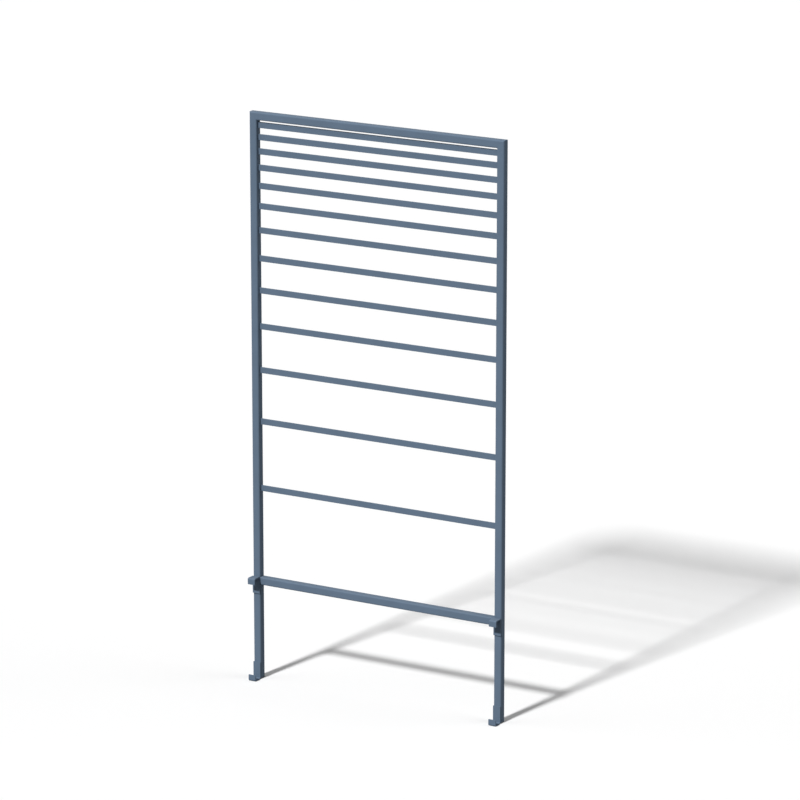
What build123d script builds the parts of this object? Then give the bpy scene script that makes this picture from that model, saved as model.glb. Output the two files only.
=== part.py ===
"""Garden trellis for a planter: a welded ladder frame of square steel tube and flat bar.

Two uprights stand on the floor, joined by a mitred top rail and a butted bottom rail. Thirteen
flat bars run across between them, close together at the top and ever wider apart downwards. Four
bent flat-bar hooks on the fronts of the legs grip a planter's wall: the upper pair hangs over its
rim, and the lower pair reaches under its bottom edge. A push-in cap closes each open tube end.

Units are millimetres. X runs across the trellis and is 0 midway between the uprights. Y runs from
front to back and is 0 in the front faces of the hook straps, where the planter's wall bears.
Z is 0 on the floor.
"""

from build123d import *
import os

os.makedirs("parts", exist_ok=True)

# Frame of square tube
frame_width = 700.0
frame_height = 1435.0
tube_size = 20.0
tube_wall = 1.5
tube_corner = 3.5

# Rungs of flat bar, and the clear gap above each of them, from the top one down
rung_height = 15.0
rung_thickness = 3.0
rung_edge = 0.4
rung_gaps = [5, 15, 20, 25, 30, 35, 45, 55, 65, 75, 95, 115, 155]

# Hooks, four alike, each bent from one flat bar as wide as the tube
hook_thickness = 3.0
hook_edge = 0.4
hook_inner_bend = 1.0
hook_strap_length = 44.0
hook_lip_length = 16.0
planter_wall = 20.0
planter_height = 261.0

# Bottom rail, which runs along the planter's rim with its top just above the hooks' seats
rail_over_rim = 1.0

# End caps, pushed into the feet of the uprights
cap_flange = 3.0
cap_flange_edge = 0.8
cap_clearance = 0.1
cap_rib_count = 3
cap_rib_width = 1.2
cap_rib_depth = 0.8
cap_rib_pitch = 4.5
cap_plug_wall = 1.5

# Places and sizes that follow from those above
inner_width = frame_width - 2 * tube_size
upright_x = (frame_width - tube_size) / 2
tube_y = hook_thickness + tube_size / 2
tube_bore = tube_size - 2 * tube_wall
tube_bore_corner = tube_corner - tube_wall
top_rail_base = frame_height - tube_size
hook_outer_bend = hook_inner_bend + hook_thickness
hook_depth = planter_wall + hook_thickness
lower_seat = hook_thickness
upper_seat = lower_seat + planter_height
bottom_rail_top = upper_seat + rail_over_rim
cap_rib_size = tube_bore - 2 * cap_clearance
cap_plug_size = cap_rib_size - 2 * cap_rib_depth
cap_plug_length = (cap_rib_count + 1) * cap_rib_pitch
sides = {"left": -1, "right": 1}


def tube_ring():
    """Cross-section of the frame tube about its own centre, for use inside a sketch."""
    RectangleRounded(tube_size, tube_size, tube_corner)
    RectangleRounded(tube_bore, tube_bore, tube_bore_corner, mode=Mode.SUBTRACT)


def mitre_plane(side):
    """Plane of one top corner's mitre: its normal points up and towards the other upright."""
    corner = (side * frame_width / 2, tube_y, frame_height)
    return Plane(origin=corner, z_dir=(-side, 0, 1))


def make_upright(side):
    """One upright: a tube from the end cap up to its mitre with the top rail."""
    with BuildPart() as upright:
        with BuildSketch(Plane.XY.offset(cap_flange)):
            with Locations((side * upright_x, tube_y)):
                tube_ring()
        extrude(amount=frame_height - cap_flange)
        split(bisect_by=mitre_plane(side), keep=Keep.BOTTOM)
    return upright


def make_rung(top):
    """One flat bar standing on edge between the uprights, its upper edge at the given height."""
    with BuildPart() as rung:
        with BuildSketch(Plane.YZ.offset(-inner_width / 2)):
            with Locations((tube_y, top - rung_height / 2)):
                RectangleRounded(rung_thickness, rung_height, rung_edge)
        extrude(amount=inner_width)
    return rung


def make_hook(side, seat, turn):
    """One hook: turn is 1 where the seat faces down onto a rim, and -1 where it faces up.

    The profile is drawn with its seat on the sketch's X axis and the outer face above it, so the
    same outline makes the upper hook and, on a plane turned over, the lower one.
    """
    start = (side * upright_x - turn * tube_size / 2, 0, seat)
    strap_end = hook_thickness - hook_strap_length
    lip_end = hook_thickness - hook_lip_length
    with BuildPart() as hook:
        with BuildSketch(Plane(origin=start, x_dir=(0, 1, 0), z_dir=(turn, 0, 0))) as bar:
            with BuildLine():
                Polyline(
                    (0, strap_end),
                    (0, 0),
                    (-planter_wall, 0),
                    (-planter_wall, lip_end),
                    (-hook_depth, lip_end),
                    (-hook_depth, hook_thickness),
                    (hook_thickness, hook_thickness),
                    (hook_thickness, strap_end),
                    close=True,
                )
            make_face()
            fillet(bar.vertices().group_by(Axis.Y)[-2], radius=hook_inner_bend)
            fillet(bar.vertices().group_by(Axis.Y)[-1], radius=hook_outer_bend)
        extrude(amount=tube_size)
        fillet(hook.faces().filter_by(Axis.X).edges(), radius=hook_edge)
    return hook


def make_end_cap(side):
    """One end cap: a flange as large as the tube, and a hollow ribbed plug that fits its bore."""
    centre = (side * upright_x, tube_y)
    with BuildPart() as cap:
        with BuildSketch():
            with Locations(centre):
                RectangleRounded(tube_size, tube_size, tube_corner)
        extrude(amount=cap_flange)
        fillet(cap.edges().group_by(Axis.Z)[0], radius=cap_flange_edge)
        with BuildSketch(Plane.XY.offset(cap_flange)):
            with Locations(centre):
                Rectangle(cap_plug_size, cap_plug_size)
        extrude(amount=cap_plug_length)
        for rib in range(1, cap_rib_count + 1):
            with BuildSketch(Plane.XY.offset(cap_flange + rib * cap_rib_pitch)):
                with Locations(centre):
                    RectangleRounded(cap_rib_size, cap_rib_size, tube_bore_corner - cap_clearance)
            extrude(amount=cap_rib_width)
        with BuildSketch(Plane.XY.offset(cap_flange)):
            with Locations(centre):
                Rectangle(cap_plug_size - 2 * cap_plug_wall, cap_plug_size - 2 * cap_plug_wall)
        extrude(amount=cap_plug_length, mode=Mode.SUBTRACT)
    return cap


def save(piece, name):
    """Label one finished piece and write its STEP file."""
    piece.part.label = name
    export_step(piece.part, f"parts/{name}.step")


# Top rail, mitred at both ends
with BuildPart() as top_rail:
    with BuildSketch(Plane.YZ.offset(-frame_width / 2)):
        with Locations((tube_y, frame_height - tube_size / 2)):
            tube_ring()
    extrude(amount=frame_width)
    for side in sides.values():
        split(bisect_by=mitre_plane(side), keep=Keep.TOP)
save(top_rail, "top_rail")

# Bottom rail, butted between the uprights
with BuildPart() as bottom_rail:
    with BuildSketch(Plane.YZ.offset(-inner_width / 2)):
        with Locations((tube_y, bottom_rail_top - tube_size / 2)):
            tube_ring()
    extrude(amount=inner_width)
save(bottom_rail, "bottom_rail")

# Rungs, numbered from the top down
rung_top = top_rail_base
for number, gap in enumerate(rung_gaps, start=1):
    rung_top -= gap
    save(make_rung(rung_top), f"rung_{number:02d}")
    rung_top -= rung_height

# Uprights, hooks and end caps, left and right
for name, side in sides.items():
    save(make_upright(side), f"upright_{name}")
    save(make_hook(side, upper_seat, 1), f"upper_hook_{name}")
    save(make_hook(side, lower_seat, -1), f"lower_hook_{name}")
    save(make_end_cap(side), f"end_cap_{name}")

print(f"Overall {frame_width} wide, {hook_depth + hook_thickness + tube_size} deep, {frame_height} high")
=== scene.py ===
"""Looks of the garden trellis: coated steel, welds, foot caps, studio floor, light and camera.

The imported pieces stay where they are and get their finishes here. The welds that hold the real
frame together are added in the corners that they fill. All lengths are metres, in the frame of
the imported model: X runs across the trellis, Y from front to back, and Z up from the floor.
"""

from __future__ import annotations

import logging
import math
import random
from dataclasses import dataclass, field
from enum import Enum

import bpy
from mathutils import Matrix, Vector

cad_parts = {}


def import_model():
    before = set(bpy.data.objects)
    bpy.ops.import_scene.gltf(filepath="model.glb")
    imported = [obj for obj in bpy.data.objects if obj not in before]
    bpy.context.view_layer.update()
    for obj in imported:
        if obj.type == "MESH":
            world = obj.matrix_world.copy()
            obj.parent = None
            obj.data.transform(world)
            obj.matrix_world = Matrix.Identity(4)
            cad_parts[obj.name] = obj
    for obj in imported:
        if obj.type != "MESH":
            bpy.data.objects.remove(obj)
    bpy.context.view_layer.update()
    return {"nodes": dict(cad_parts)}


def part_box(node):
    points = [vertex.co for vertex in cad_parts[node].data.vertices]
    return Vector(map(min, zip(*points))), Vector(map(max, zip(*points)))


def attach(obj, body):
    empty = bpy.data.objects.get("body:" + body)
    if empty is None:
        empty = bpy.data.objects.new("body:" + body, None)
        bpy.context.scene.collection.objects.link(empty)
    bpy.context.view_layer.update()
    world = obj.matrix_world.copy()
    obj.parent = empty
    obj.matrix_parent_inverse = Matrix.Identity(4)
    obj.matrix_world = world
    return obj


log = logging.getLogger("garden_trellis")

Colour = tuple[float, float, float]
BODY = "root"
MILLIMETRE = 0.001


class Slot(Enum):
    """A material slot name, which nothing in this script gives to a piece."""

    COATED_STEEL = "coated_steel"


class Side(Enum):
    """The two uprights, by the sign of their X."""

    LEFT = -1
    RIGHT = 1

    @property
    def word(self) -> str:
        """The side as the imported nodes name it."""
        return self.name.lower()


class Wiring:
    """Adds nodes to one node tree and joins their sockets."""

    def __init__(self, tree: bpy.types.NodeTree) -> None:
        """Empties the node tree of a material, a world or a node group, to wire it anew."""
        self.tree = tree
        tree.nodes.clear()

    def add(self, kind: str, **settings: object) -> bpy.types.Node:
        """Adds one node.

        Args:
            kind: Blender's name of the node's type, without the leading ShaderNode. The names
                that start with NodeGroup are whole as they are.
            **settings: Properties to set on the node.

        Returns:
            The new node.
        """
        node = self.tree.nodes.new(kind if kind.startswith("NodeGroup") else "ShaderNode" + kind)
        for name, value in settings.items():
            setattr(node, name, value)
        return node

    def feed(self, socket: bpy.types.NodeSocket, value: object) -> None:
        """Links a socket to another one, or sets it to a plain value.

        Args:
            socket: The input to feed.
            value: An output socket, a number, or a colour or vector as a tuple.
        """
        if isinstance(value, bpy.types.NodeSocket):
            self.tree.links.new(value, socket)
        elif socket.type == "RGBA":
            socket.default_value = (*value, 1.0)
        else:
            socket.default_value = value

    def math(self, operation: str, *values: object, clamp: bool = False) -> bpy.types.NodeSocket:
        """Adds a Math node.

        Args:
            operation: The node's operation, such as MULTIPLY.
            *values: One value or socket for each input.
            clamp: Whether the result is held between 0 and 1.

        Returns:
            The node's output.
        """
        node = self.add("Math", operation=operation, use_clamp=clamp)
        for socket, value in zip(node.inputs, values):
            self.feed(socket, value)
        return node.outputs["Value"]

    def ramp(self, value: object, low: object, high: object) -> bpy.types.NodeSocket:
        """Maps a value smoothly from 0 at low to 1 at high.

        Args:
            value: The socket to map.
            low: Where the result leaves 0.
            high: Where the result reaches 1.

        Returns:
            The mapped value.
        """
        node = self.add("MapRange", interpolation_type="SMOOTHSTEP")
        for name, part in (("Value", value), ("From Min", low), ("From Max", high)):
            self.feed(node.inputs[name], part)
        return node.outputs["Result"]

    def mix(self, factor: object, first: object, second: object) -> bpy.types.NodeSocket:
        """Mixes two colours.

        Args:
            factor: 0 gives the first colour and 1 the second.
            first: A colour or a socket.
            second: A colour or a socket.

        Returns:
            The mixed colour.
        """
        node = self.add("Mix", data_type="RGBA", clamp_factor=True)
        colours = [socket for socket in node.inputs if socket.type == "RGBA"]
        self.feed(node.inputs["Factor"], factor)
        self.feed(colours[0], first)
        self.feed(colours[1], second)
        return next(socket for socket in node.outputs if socket.type == "RGBA")

    def noise(self, place: object, size: object, detail: float) -> bpy.types.NodeSocket:
        """Adds a Noise Texture whose features have a real size.

        Args:
            place: The coordinates to read it at.
            size: The features' size in metres, as a number or a socket.
            detail: The number of finer octaves.

        Returns:
            The noise, about 0.5 on average.
        """
        node = self.add("TexNoise")
        self.feed(node.inputs["Vector"], place)
        self.feed(node.inputs["Scale"], self.math("DIVIDE", 1.0, size))
        node.inputs["Detail"].default_value = detail
        return node.outputs["Fac"]


class EffectGroup:
    """A shader node group that more than one finish uses. Subclasses wire what is inside."""

    name = ""
    takes: dict[str, float] = {}
    gives: tuple[str, ...] = ()

    def __init__(self) -> None:
        """Makes the group with its named sockets and wires it."""
        self.tree = bpy.data.node_groups.new(self.name, "ShaderNodeTree")
        sockets = self.tree.interface
        sockets.new_socket("Place", in_out="INPUT", socket_type="NodeSocketVector")
        for name, usual in self.takes.items():
            socket = sockets.new_socket(name, in_out="INPUT", socket_type="NodeSocketFloat")
            socket.default_value = usual
        for name in self.gives:
            sockets.new_socket(name, in_out="OUTPUT", socket_type="NodeSocketFloat")
        wiring = Wiring(self.tree)
        entry = wiring.add("NodeGroupInput")
        results = self.wire(wiring, entry.outputs)
        leave = wiring.add("NodeGroupOutput")
        for name, result in zip(self.gives, results):
            wiring.feed(leave.inputs[name], result)

    def wire(self, wiring: Wiring, given: bpy.types.NodeOutputs) -> tuple:
        """Wires the sockets given to the group into one socket for each name in gives."""
        raise NotImplementedError

    def place(self, wiring: Wiring, where: bpy.types.NodeSocket, **values: float) -> bpy.types.Node:
        """Puts the group into a material.

        Args:
            wiring: The material's wiring.
            where: The coordinates to read the effect at.
            **values: The group's inputs, with underscores for spaces.

        Returns:
            The group's node.
        """
        node = wiring.add("Group", node_tree=self.tree)
        wiring.feed(node.inputs["Place"], where)
        for name, value in values.items():
            wiring.feed(node.inputs[name.replace("_", " ").title()], value)
        return node


class CoatGrain(EffectGroup):
    """The skin of a baked coat: soft orange peel, fine grit, and slight drifts of tone."""

    name = "coat_grain"
    takes = {"Peel Size": 0.0016, "Grit Size": 0.00035, "Grit Share": 0.3, "Drift Size": 0.06}
    gives = ("Height", "Drift", "Fleck")
    peel_octaves = 1.0
    grit_octaves = 2.0
    drift_octaves = 2.0
    drift_range = (0.3, 0.7)
    fleck_range = (0.35, 0.65)

    def wire(self, wiring: Wiring, given: bpy.types.NodeOutputs) -> tuple:
        """Wires peel and grit into a height, and a slow and a fine noise into two tones.

        Args:
            wiring: The group's wiring.
            given: The place to read, the sizes of peel, grit and drift, and the grit's share.

        Returns:
            The height, the drift and the fleck.
        """
        peel = wiring.noise(given["Place"], given["Peel Size"], self.peel_octaves)
        grit = wiring.noise(given["Place"], given["Grit Size"], self.grit_octaves)
        height = wiring.math("MULTIPLY_ADD", grit, given["Grit Share"], peel)
        slow = wiring.noise(given["Place"], given["Drift Size"], self.drift_octaves)
        drift = wiring.ramp(slow, *self.drift_range)
        fleck = wiring.ramp(grit, *self.fleck_range)
        return height, drift, fleck


class EdgeWear(EffectGroup):
    """Where a coat pulls thin over an edge, broken up so that no edge is even."""

    name = "edge_wear"
    takes = {"Width": 0.0008, "Patch Size": 0.008, "Bare": 0.5}
    gives = ("Mask",)
    bevel_samples = 6
    lean_range = (0.998, 0.93)
    patch_octaves = 3.0
    patch_peak = 0.95

    def wire(self, wiring: Wiring, given: bpy.types.NodeOutputs) -> tuple:
        """Wires how far a bevelled normal leans from the true one, times a patchy noise.

        Args:
            wiring: The group's wiring.
            given: The place to read, the edge's width, the patches' size and the bare share.

        Returns:
            The mask alone.
        """
        bevel = wiring.add("Bevel", samples=self.bevel_samples)
        wiring.feed(bevel.inputs["Radius"], given["Width"])
        surface = wiring.add("NewGeometry")
        lean = wiring.add("VectorMath", operation="DOT_PRODUCT")
        wiring.feed(lean.inputs[0], bevel.outputs["Normal"])
        wiring.feed(lean.inputs[1], surface.outputs["Normal"])
        edge = wiring.ramp(lean.outputs["Value"], *self.lean_range)
        patches = wiring.noise(given["Place"], given["Patch Size"], self.patch_octaves)
        bare_from = wiring.math("SUBTRACT", self.patch_peak, given["Bare"])
        worn = wiring.ramp(patches, bare_from, self.patch_peak)
        return (wiring.math("MULTIPLY", edge, worn),)


class SettledDust(EffectGroup):
    """A little garden dust on what faces up."""

    name = "settled_dust"
    takes = {"Patch Size": 0.02, "Cover": 0.5}
    gives = ("Mask",)
    upward_range = (0.55, 0.98)
    patch_octaves = 5.0
    patch_range = (0.25, 0.75)

    def wire(self, wiring: Wiring, given: bpy.types.NodeOutputs) -> tuple:
        """Wires how far the surface faces up, times a patchy noise.

        Args:
            wiring: The group's wiring.
            given: The place to read, the patches' size and how much the dust covers.

        Returns:
            The mask alone.
        """
        surface = wiring.add("NewGeometry")
        facing = wiring.add("SeparateXYZ")
        wiring.feed(facing.inputs[0], surface.outputs["Normal"])
        upward = wiring.ramp(facing.outputs["Z"], *self.upward_range)
        speckle = wiring.noise(given["Place"], given["Patch Size"], self.patch_octaves)
        patches = wiring.ramp(speckle, *self.patch_range)
        cover = wiring.math("MULTIPLY", patches, given["Cover"])
        return (wiring.math("MULTIPLY", upward, cover, clamp=True),)


class RubMarks(EffectGroup):
    """Fine upright streaks, polished by sliding on and off."""

    name = "rub_marks"
    takes = {"Width": 0.0004, "Length": 0.012, "Cover": 0.3}
    gives = ("Mask",)
    streak_octaves = 2.0
    streak_low = 0.78
    streak_high = 0.8
    cover_reach = 0.4

    def wire(self, wiring: Wiring, given: bpy.types.NodeOutputs) -> tuple:
        """Wires a noise drawn out along Z and cut down to its peaks.

        Args:
            wiring: The group's wiring.
            given: The place to read, the streaks' width and length, and how much they cover.

        Returns:
            The mask alone.
        """
        shape = wiring.add("CombineXYZ")
        for axis, size in (("X", "Width"), ("Y", "Width"), ("Z", "Length")):
            wiring.feed(shape.inputs[axis], wiring.math("DIVIDE", 1.0, given[size]))
        stretched = wiring.add("VectorMath", operation="MULTIPLY")
        wiring.feed(stretched.inputs[0], given["Place"])
        wiring.feed(stretched.inputs[1], shape.outputs["Vector"])
        # Here one unit of the stretched place is one streak.
        streaks = wiring.noise(stretched.outputs["Vector"], 1.0, self.streak_octaves)
        drop = wiring.math("MULTIPLY", given["Cover"], self.cover_reach)
        low = wiring.math("SUBTRACT", self.streak_low, drop)
        return (wiring.ramp(streaks, low, self.streak_high),)


@dataclass
class Effects:
    """The shared node groups, each built once."""

    grain: CoatGrain = field(default_factory=CoatGrain)
    edges: EdgeWear = field(default_factory=EdgeWear)
    dust: SettledDust = field(default_factory=SettledDust)
    rubs: RubMarks = field(default_factory=RubMarks)


def shifted(colour: Colour, share: float) -> Colour:
    """Makes a colour lighter by a share of itself, or darker where the share is below 0."""
    return tuple(part * (1 + share) for part in colour)


@dataclass(frozen=True)
class CoatedSteel:
    """Steel under a baked matt coat.

    Colours are linear. tone_drift is the share by which the tone moves up and down, and fleck the
    share by which a fleck is lighter. fleck_cover is how strongly the flecks show.
    dust_roughness is added where dust lies, and rub_gloss is taken off where the coat is rubbed.
    """

    name: str
    colour: Colour = (0.103, 0.149, 0.211)
    worn_colour: Colour = (0.155, 0.213, 0.29)
    dust_colour: Colour = (0.36, 0.36, 0.34)
    roughness: float = 0.75
    roughness_drift: float = 0.05
    specular: float = 0.32
    tone_drift: float = 0.05
    fleck: float = 0.06
    fleck_cover: float = 0.5
    peel_size: float = 0.0018
    peel_height: float = 0.00005
    grit_size: float = 0.0004
    grit_share: float = 0.3
    edge_width: float = 0.0006
    bare_edges: float = 0.45
    edge_strength: float = 0.45
    dust_cover: float = 0.08
    dust_roughness: float = 0.3
    rub_cover: float = 0.12
    rub_gloss: float = 0.08

    def make(self, effects: Effects) -> bpy.types.Material:
        """Builds the material.

        Args:
            effects: The shared node groups.

        Returns:
            The new material.
        """
        material = bpy.data.materials.new(self.name)
        material.use_nodes = True
        wiring = Wiring(material.node_tree)
        where = wiring.add("TexCoord").outputs["Object"]
        grain = effects.grain.place(
            wiring,
            where,
            peel_size=self.peel_size,
            grit_size=self.grit_size,
            grit_share=self.grit_share,
        )
        edges = effects.edges.place(wiring, where, width=self.edge_width, bare=self.bare_edges)
        dust = effects.dust.place(wiring, where, cover=self.dust_cover)
        rubs = effects.rubs.place(wiring, where, cover=self.rub_cover)

        darker = shifted(self.colour, -self.tone_drift)
        lighter = shifted(self.colour, self.tone_drift)
        flecked = shifted(self.colour, self.fleck)
        tone = wiring.mix(grain.outputs["Drift"], darker, lighter)
        fleck = wiring.math("MULTIPLY", grain.outputs["Fleck"], self.fleck_cover)
        tone = wiring.mix(fleck, tone, flecked)
        worn = wiring.math("MULTIPLY", edges.outputs["Mask"], self.edge_strength)
        tone = wiring.mix(worn, tone, self.worn_colour)
        tone = wiring.mix(dust.outputs["Mask"], tone, self.dust_colour)

        rough = wiring.math(
            "MULTIPLY_ADD", grain.outputs["Drift"], self.roughness_drift, self.roughness
        )
        rough = wiring.math("MULTIPLY_ADD", dust.outputs["Mask"], self.dust_roughness, rough)
        rough = wiring.math("MULTIPLY_ADD", rubs.outputs["Mask"], -self.rub_gloss, rough)

        bump = wiring.add("Bump")
        bump.inputs["Strength"].default_value = 1.0
        bump.inputs["Distance"].default_value = self.peel_height
        wiring.feed(bump.inputs["Height"], grain.outputs["Height"])

        shader = wiring.add("BsdfPrincipled")
        shader.inputs["Specular IOR Level"].default_value = self.specular
        wiring.feed(shader.inputs["Base Color"], tone)
        wiring.feed(shader.inputs["Roughness"], rough)
        wiring.feed(shader.inputs["Normal"], bump.outputs["Normal"])
        wiring.feed(wiring.add("OutputMaterial").inputs["Surface"], shader.outputs["BSDF"])
        return material


@dataclass(frozen=True)
class MouldedPlastic:
    """Dark moulded plastic with a spark-eroded skin and scuffed edges.

    grit_fineness is how many times finer the grit is than the skin.
    """

    name: str
    colour: Colour = (0.06, 0.075, 0.09)
    scuffed_colour: Colour = (0.16, 0.17, 0.18)
    dust_colour: Colour = (0.3, 0.29, 0.27)
    roughness: float = 0.55
    roughness_drift: float = 0.08
    tone_drift: float = 0.08
    drift_size: float = 0.01
    skin_size: float = 0.0005
    skin_height: float = 0.000025
    grit_fineness: float = 3.0
    edge_width: float = 0.0005
    bare_edges: float = 0.5
    edge_strength: float = 0.5
    dust_cover: float = 0.25
    dust_patch: float = 0.006

    def make(self, effects: Effects) -> bpy.types.Material:
        """Builds the material.

        Args:
            effects: The shared node groups.

        Returns:
            The new material.
        """
        material = bpy.data.materials.new(self.name)
        material.use_nodes = True
        wiring = Wiring(material.node_tree)
        where = wiring.add("TexCoord").outputs["Object"]
        grain = effects.grain.place(
            wiring,
            where,
            peel_size=self.skin_size,
            grit_size=self.skin_size / self.grit_fineness,
            drift_size=self.drift_size,
        )
        edges = effects.edges.place(wiring, where, width=self.edge_width, bare=self.bare_edges)
        dust = effects.dust.place(
            wiring, where, patch_size=self.dust_patch, cover=self.dust_cover
        )

        darker = shifted(self.colour, -self.tone_drift)
        lighter = shifted(self.colour, self.tone_drift)
        tone = wiring.mix(grain.outputs["Drift"], darker, lighter)
        worn = wiring.math("MULTIPLY", edges.outputs["Mask"], self.edge_strength)
        tone = wiring.mix(worn, tone, self.scuffed_colour)
        tone = wiring.mix(dust.outputs["Mask"], tone, self.dust_colour)
        rough = wiring.math(
            "MULTIPLY_ADD", grain.outputs["Drift"], self.roughness_drift, self.roughness
        )

        bump = wiring.add("Bump")
        bump.inputs["Strength"].default_value = 1.0
        bump.inputs["Distance"].default_value = self.skin_height
        wiring.feed(bump.inputs["Height"], grain.outputs["Height"])

        shader = wiring.add("BsdfPrincipled")
        wiring.feed(shader.inputs["Base Color"], tone)
        wiring.feed(shader.inputs["Roughness"], rough)
        wiring.feed(shader.inputs["Normal"], bump.outputs["Normal"])
        wiring.feed(wiring.add("OutputMaterial").inputs["Surface"], shader.outputs["BSDF"])
        return material


def dress(piece: bpy.types.Object, material: bpy.types.Material) -> None:
    """Gives every face of a piece one material.

    Args:
        piece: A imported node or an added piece.
        material: Its finish.
    """
    if not piece.material_slots:
        piece.data.materials.append(material)
    for slot in piece.material_slots:
        slot.material = material
    log.info("%s wears %s", piece.name, material.name)


@dataclass(frozen=True)
class Corner:
    """An inside corner between two faces, which a weld bead fills.

    start and end are the ends of the corner's root line. first and second reach from that line to
    the bead's two toes, each on one of the faces. crown is how far the bead's face bows out
    between the toes, as a share of the distance between them, and is below 0 where it is hollow.
    """

    start: Vector
    end: Vector
    first: Vector
    second: Vector
    crown: float = 0.07


@dataclass
class WeldBead:
    """A run of weld: overlapping ripples between two toes, and rounded ends.

    ripple_lean and ripple_fullness are the exponents that shape one ripple's swell. The bead's
    size is drawn anew, within wander, every rings_per_wander rings.
    """

    root: float = 0.3 * MILLIMETRE
    ripple_pitch: float = 1.3 * MILLIMETRE
    ripple_height: float = 0.1
    ripple_bow: float = 0.55
    ripple_lean: float = 0.6
    ripple_fullness: float = 0.8
    wander: float = 0.05
    thinnest: float = 0.04
    face_points: int = 9
    rings_per_ripple: int = 6
    rings_per_wander: int = 4
    fewest_rings: int = 8
    seed: int = 0

    def ripple(self, along: float, across: float) -> float:
        """How much a ripple swells the bead at one point.

        Args:
            along: The distance from the bead's start.
            across: The place over the bead's face, from 0 to 1.

        Returns:
            A value from 0, between two ripples, to 1 at a ripple's back.
        """
        bow = self.ripple_bow * (1 - (2 * across - 1) ** 2)
        phase = (along / self.ripple_pitch + bow) % 1.0
        if phase <= 0:
            return 0.0
        return math.sin(math.pi * phase**self.ripple_lean) ** self.ripple_fullness

    def rings(self, corner: Corner) -> list[list[Vector]]:
        """Works out the bead's sections.

        Args:
            corner: The corner that the bead fills.

        Returns:
            One closed section for each ring, its first point at the root of the weld.
        """
        chance = random.Random(self.seed)
        run = corner.end - corner.start
        length = run.length
        leg = corner.first.length
        face = corner.second - corner.first
        outward = (corner.first - corner.first.project(face)).normalized() * face.length
        inward = -(corner.first + corner.second).normalized() * self.root
        wanted = round(length / self.ripple_pitch * self.rings_per_ripple)
        count = max(self.fewest_rings, wanted)
        # A few more widths than whole steps, so that the last ring still has a next one.
        steps = count // self.rings_per_wander + 3
        wide = [1 - self.wander * chance.random() for _ in range(steps)]
        sections = []
        for ring in range(count + 1):
            along = length * ring / count
            step, share = divmod(ring / self.rings_per_wander, 1)
            here = wide[int(step)] * (1 - share) + wide[int(step) + 1] * share
            nearest = min(along, length - along, leg) / leg
            size = here * max(math.sqrt(1 - (1 - nearest) ** 2), self.thinnest)
            centre = corner.start + run * (ring / count)
            section = [centre + inward]
            for point in range(self.face_points):
                across = point / (self.face_points - 1)
                rise = corner.crown + self.ripple_height * self.ripple(along, across)
                bow = outward * rise * 4 * across * (1 - across)
                section.append(centre + (corner.first + face * across + bow) * size)
            sections.append(section)
        return sections

    def mesh_parts(self, corner: Corner) -> tuple[list[Vector], list[tuple[int, ...]]]:
        """Joins the bead's sections into a closed skin.

        Args:
            corner: The corner that the bead fills.

        Returns:
            The bead's points, and its faces as indices into them.
        """
        sections = self.rings(corner)
        size = len(sections[0])
        points = [point for section in sections for point in section]
        faces = []
        for ring in range(len(sections) - 1):
            for side in range(size):
                a, b = ring * size + side, ring * size + (side + 1) % size
                faces.append((a, b, b + size, a + size))
        last = (len(sections) - 1) * size
        faces.append(tuple(reversed(range(size))))
        faces.append(tuple(range(last, last + size)))
        run = corner.end - corner.start
        if corner.first.cross(corner.second).dot(run) < 0:
            faces = [tuple(reversed(face)) for face in faces]
        return points, faces


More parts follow.
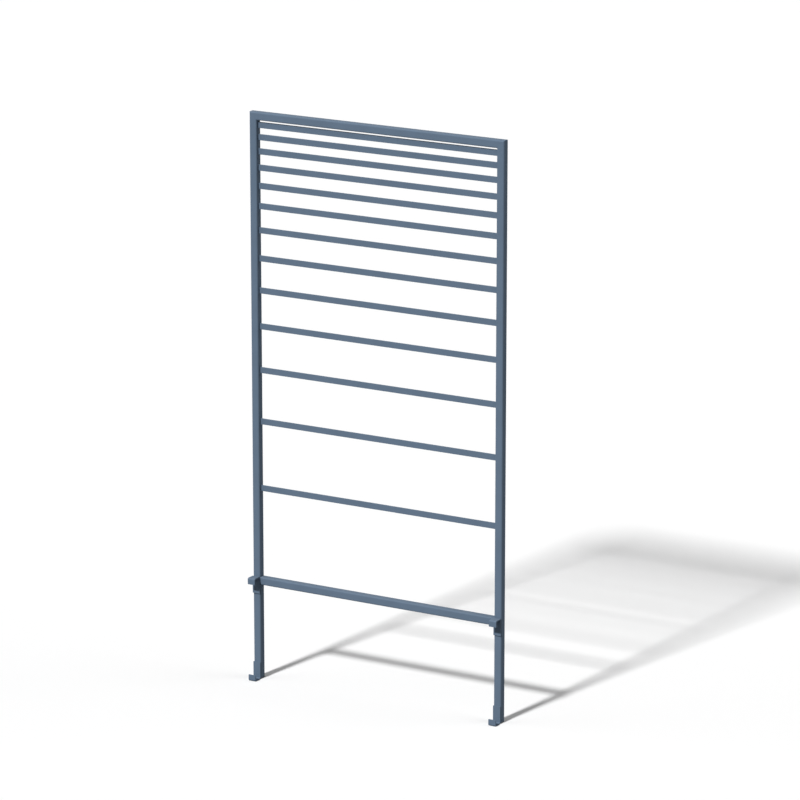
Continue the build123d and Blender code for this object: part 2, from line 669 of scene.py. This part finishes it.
@dataclass
class Welds:
    """All the weld beads, in the corners where the real frame is joined."""

    fillet_leg: float = 2.2 * MILLIMETRE
    end_margin: float = 1.0 * MILLIMETRE
    tube_corner: float = 3.5 * MILLIMETRE
    groove_fill: float = 0.86
    groove_crown: float = -0.14
    stitch: float = 9.0 * MILLIMETRE
    stitch_inset: float = 2.0 * MILLIMETRE
    pieces: list[bpy.types.Object] = field(default_factory=list)

    def lay(self, name: str, corners: list[Corner]) -> None:
        """Makes one piece of one or more beads, which rides on the frame.

        Args:
            name: The piece's name.
            corners: The corners to fill.
        """
        points, faces = [], []
        for number, corner in enumerate(corners):
            bead = WeldBead(seed=sum(map(ord, name)) + number)
            more_points, more_faces = bead.mesh_parts(corner)
            faces += [tuple(index + len(points) for index in face) for face in more_faces]
            points += more_points
        mesh = bpy.data.meshes.new(name)
        mesh.from_pydata(points, [], faces)
        mesh.polygons.foreach_set("use_smooth", [len(face) == 4 for face in faces])
        mesh.update()
        piece = bpy.data.objects.new(name, mesh)
        bpy.context.scene.collection.objects.link(piece)
        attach(piece, BODY)
        self.pieces.append(piece)
        log.info("%s holds %d beads", name, len(corners))

    def behind_rung(self, rung: str) -> None:
        """Welds one rung to both uprights along its rear face.

        Args:
            rung: The rung's node.
        """
        low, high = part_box(rung)
        corners = []
        for side in Side:
            x = high.x if side is Side.RIGHT else low.x
            corners.append(
                Corner(
                    start=Vector((x, high.y, low.z + self.end_margin)),
                    end=Vector((x, high.y, high.z - self.end_margin)),
                    first=Vector((-side.value * self.fillet_leg, 0, 0)),
                    second=Vector((0, self.fillet_leg, 0)),
                )
            )
        self.lay(f"weld_{rung}", corners)

    def under_rail(self, rail: str, side: Side) -> None:
        """Welds the underside of a rail's end to the inner face of an upright.

        Args:
            rail: The rail's node.
            side: The upright that it meets.
        """
        low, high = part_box(rail)
        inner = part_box(f"upright_{side.word}")[1 if side is Side.LEFT else 0].x
        corner = Corner(
            start=Vector((inner, low.y + self.tube_corner, low.z)),
            end=Vector((inner, high.y - self.tube_corner, low.z)),
            first=Vector((-side.value * self.fillet_leg, 0, 0)),
            second=Vector((0, 0, -self.fillet_leg)),
        )
        self.lay(f"weld_{rail}_{side.word}", [corner])

    def beside_strap(self, hook: str, side: Side) -> None:
        """Welds a hook's strap into the grooves beside the rounded corners of its upright.

        Args:
            hook: The hook's node.
            side: The upright that carries it.
        """
        low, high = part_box(hook)
        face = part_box(f"upright_{side.word}")[0].y
        depth = self.tube_corner * self.groove_fill
        corners = []
        for edge, away in ((low.x, -1), (high.x, 1)):
            root = edge - away * self.tube_corner
            for base in (low.z + self.stitch_inset, high.z - self.stitch_inset - self.stitch):
                corners.append(
                    Corner(
                        start=Vector((root, face, base)),
                        end=Vector((root, face, base + self.stitch)),
                        first=Vector((away * depth, 0, 0)),
                        second=Vector((away * depth, depth, 0)),
                        crown=self.groove_crown,
                    )
                )
        self.lay(f"weld_{hook}", corners)

    def build(self, nodes: dict[str, bpy.types.Object]) -> None:
        """Lays every bead.

        Args:
            nodes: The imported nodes, by name.
        """
        for rung in sorted(name for name in nodes if name.startswith("rung_")):
            self.behind_rung(rung)
        for side in Side:
            for rail in ("top_rail", "bottom_rail"):
                self.under_rail(rail, side)
            for hook in ("upper_hook", "lower_hook"):
                self.beside_strap(f"{hook}_{side.word}", side)

    def dress(self, material: bpy.types.Material) -> None:
        """Gives every bead its coat."""
        for piece in self.pieces:
            dress(piece, material)


@dataclass
class Ladder:
    """The welded ladder of tubes and bars."""

    tube_nodes: tuple[str, ...] = ("upright_left", "upright_right", "top_rail", "bottom_rail")
    tube_coat: CoatedSteel = CoatedSteel("tube_coat")
    bar_coat: CoatedSteel = CoatedSteel("bar_coat", peel_size=0.0015, edge_width=0.0004)
    weld_coat: CoatedSteel = CoatedSteel("weld_coat", peel_size=0.0009, bare_edges=0.3)
    welds: Welds = field(default_factory=Welds)

    def build(self, nodes: dict[str, bpy.types.Object]) -> None:
        """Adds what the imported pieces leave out."""
        self.welds.build(nodes)

    def dress(self, nodes: dict[str, bpy.types.Object], effects: Effects) -> None:
        """Gives tubes, rungs and welds their coats.

        Args:
            nodes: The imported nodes, by name.
            effects: The shared node groups.
        """
        tube = self.tube_coat.make(effects)
        bar = self.bar_coat.make(effects)
        for name in self.tube_nodes:
            dress(nodes[name], tube)
        for name in sorted(nodes):
            if name.startswith("rung_"):
                dress(nodes[name], bar)
        self.welds.dress(self.weld_coat.make(effects))


@dataclass
class Hooks:
    """The four hooks that grip the planter's wall."""

    coat: CoatedSteel = CoatedSteel("hook_coat", rub_cover=0.4, rub_gloss=0.14, bare_edges=0.55)

    def dress(self, nodes: dict[str, bpy.types.Object], effects: Effects) -> None:
        """Gives the hooks their coat, with rub marks where they slide.

        Args:
            nodes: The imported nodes, by name.
            effects: The shared node groups.
        """
        material = self.coat.make(effects)
        for name in sorted(nodes):
            if "_hook_" in name:
                dress(nodes[name], material)


@dataclass
class FootCaps:
    """The two caps pushed into the feet."""

    plastic: MouldedPlastic = MouldedPlastic("cap_plastic_skin")

    def dress(self, nodes: dict[str, bpy.types.Object], effects: Effects) -> None:
        """Gives the caps their plastic.

        Args:
            nodes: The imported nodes, by name.
            effects: The shared node groups.
        """
        material = self.plastic.make(effects)
        for side in Side:
            dress(nodes[f"end_cap_{side.word}"], material)


@dataclass(frozen=True)
class Lamp:
    """One distant soft lamp.

    towards points from the trellis to the lamp. level is how bright the lamp alone makes a white
    surface that faces it, where 1 is white. spread is the angle that the lamp fills.
    """

    name: str
    towards: tuple[float, float, float]
    level: float
    spread: float

    def hang(self) -> None:
        """Adds the lamp to the scene."""
        data = bpy.data.lights.new(self.name, "SUN")
        data.energy = self.level * math.pi
        data.angle = math.radians(self.spread)
        lamp = bpy.data.objects.new(self.name, data)
        lamp.rotation_euler = (-Vector(self.towards)).to_track_quat("-Z", "Y").to_euler()
        bpy.context.scene.collection.objects.link(lamp)


@dataclass
class Studio:
    """White floor and air, a soft key lamp, weak side lamps, an even fill and the camera."""

    floor_reach: float = 300.0
    floor_white: float = 0.95
    floor_bounce: float = 0.22
    lamps: tuple[Lamp, ...] = (
        Lamp("key_lamp", (-0.137, -1.053, 1.0), level=1.1, spread=5.6),
        Lamp("right_lamp", (0.95, 0.29, 1.0), level=0.17, spread=38.0),
        Lamp("left_lamp", (-0.87, -0.47, 0.85), level=0.1, spread=34.0),
    )
    fill_level: float = 0.12
    camera_place: Vector = field(default_factory=lambda: Vector((5.27414, -9.01191, 3.5612)))
    camera_azimuth: float = math.radians(30.0)
    camera_down: float = math.radians(15.0)
    picture_side: float = 800.0
    focal_pixels: float = 4490.5
    sensor: float = 36.0

    def seen(self, wiring: Wiring) -> bpy.types.NodeSocket:
        """Tells the rays that show the floor or the air from those that carry their light.

        Args:
            wiring: The wiring of the floor's material or of the world.

        Returns:
            1 to the camera, in reflections and through clear things, and 0 elsewhere.
        """
        rays = wiring.add("LightPath").outputs
        direct = wiring.math("MAXIMUM", rays["Is Camera Ray"], rays["Is Glossy Ray"])
        return wiring.math("MAXIMUM", direct, rays["Is Transmission Ray"])

    def lay_floor(self) -> None:
        """Makes the white floor, which takes the shadow and throws back only a little light."""
        reach = self.floor_reach
        mesh = bpy.data.meshes.new("studio_floor")
        corners = [(-reach, -reach, 0), (reach, -reach, 0), (reach, reach, 0), (-reach, reach, 0)]
        mesh.from_pydata(corners, [], [(0, 1, 2, 3)])
        material = bpy.data.materials.new("floor_white")
        material.use_nodes = True
        wiring = Wiring(material.node_tree)
        white = (self.floor_white,) * 3
        bounce = (self.floor_bounce,) * 3
        matt = wiring.add("BsdfDiffuse")
        wiring.feed(matt.inputs["Color"], wiring.mix(self.seen(wiring), bounce, white))
        wiring.feed(wiring.add("OutputMaterial").inputs["Surface"], matt.outputs["BSDF"])
        mesh.materials.append(material)
        floor = bpy.data.objects.new("studio_floor", mesh)
        bpy.context.scene.collection.objects.link(floor)

    def hang_lights(self) -> None:
        """Hangs the lamps, and sets a world that looks white but lights as a weak even fill."""
        for lamp in self.lamps:
            lamp.hang()
        world = bpy.data.worlds.new("studio_air")
        bpy.context.scene.world = world
        world.use_nodes = True
        wiring = Wiring(world.node_tree)
        sky = wiring.add("Background")
        sky.inputs["Color"].default_value = (1, 1, 1, 1)
        extra = wiring.math("MULTIPLY", self.seen(wiring), 1 - self.fill_level)
        wiring.feed(sky.inputs["Strength"], wiring.math("ADD", extra, self.fill_level))
        wiring.feed(wiring.add("OutputWorld").inputs["Surface"], sky.outputs["Background"])

    def place_camera(self) -> None:
        """Puts the camera where the photograph was taken from."""
        data = bpy.data.cameras.new("photo_camera")
        data.sensor_width = self.sensor
        data.lens = self.focal_pixels * self.sensor / self.picture_side
        data.clip_end = 2 * self.floor_reach
        camera = bpy.data.objects.new("photo_camera", data)
        camera.location = self.camera_place
        camera.rotation_euler = (math.pi / 2 - self.camera_down, 0, self.camera_azimuth)
        bpy.context.scene.collection.objects.link(camera)
        bpy.context.scene.camera = camera

    def build(self) -> None:
        """Makes the whole studio."""
        bpy.context.scene.view_settings.view_transform = "Standard"
        self.place_camera()
        self.lay_floor()
        self.hang_lights()


def main() -> None:
    """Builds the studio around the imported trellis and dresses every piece."""
    logging.basicConfig(level=logging.INFO, format="%(name)s: %(message)s")
    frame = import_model()
    nodes = frame["nodes"]
    Studio().build()
    effects = Effects()
    ladder = Ladder()
    ladder.build(nodes)
    ladder.dress(nodes, effects)
    Hooks().dress(nodes, effects)
    FootCaps().dress(nodes, effects)


if __name__ == "__main__":
    main()
